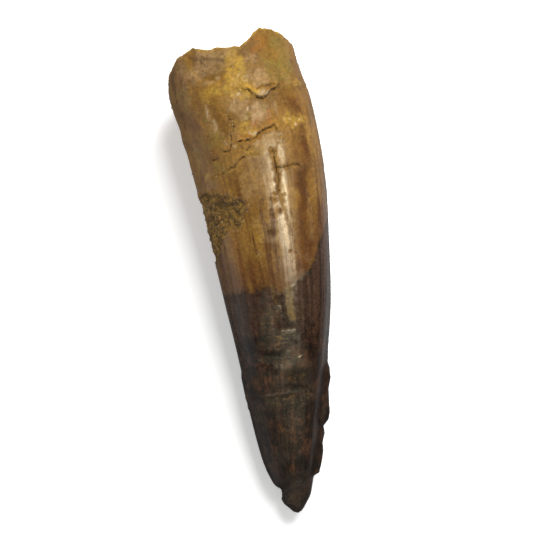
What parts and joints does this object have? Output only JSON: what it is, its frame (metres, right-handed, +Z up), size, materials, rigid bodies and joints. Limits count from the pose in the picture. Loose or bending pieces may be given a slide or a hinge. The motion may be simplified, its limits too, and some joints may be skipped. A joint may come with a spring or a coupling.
{
  "type": "fossil spinosaurus tooth",
  "caption": "Long conical fossil dinosaur tooth with a broken root, a chipped carina and a worn tip, lying on its flatter side.",
  "frame": {"origin": "on the surface that the tooth lies on, under the middle of its length and width", "axes": "+Y along the tooth towards its broken root, +X towards the chipped carina, +Z up"},
  "size_m": [0.0248, 0.0824, 0.0202],
  "materials": {
    "tooth": "fossil enamel and dentine, ochre at the root and nearly black at the tip, with a soft gloss"
  },
  "bodies": {
    "root": {"tooth": "tooth"}
  },
  "joints": []
}
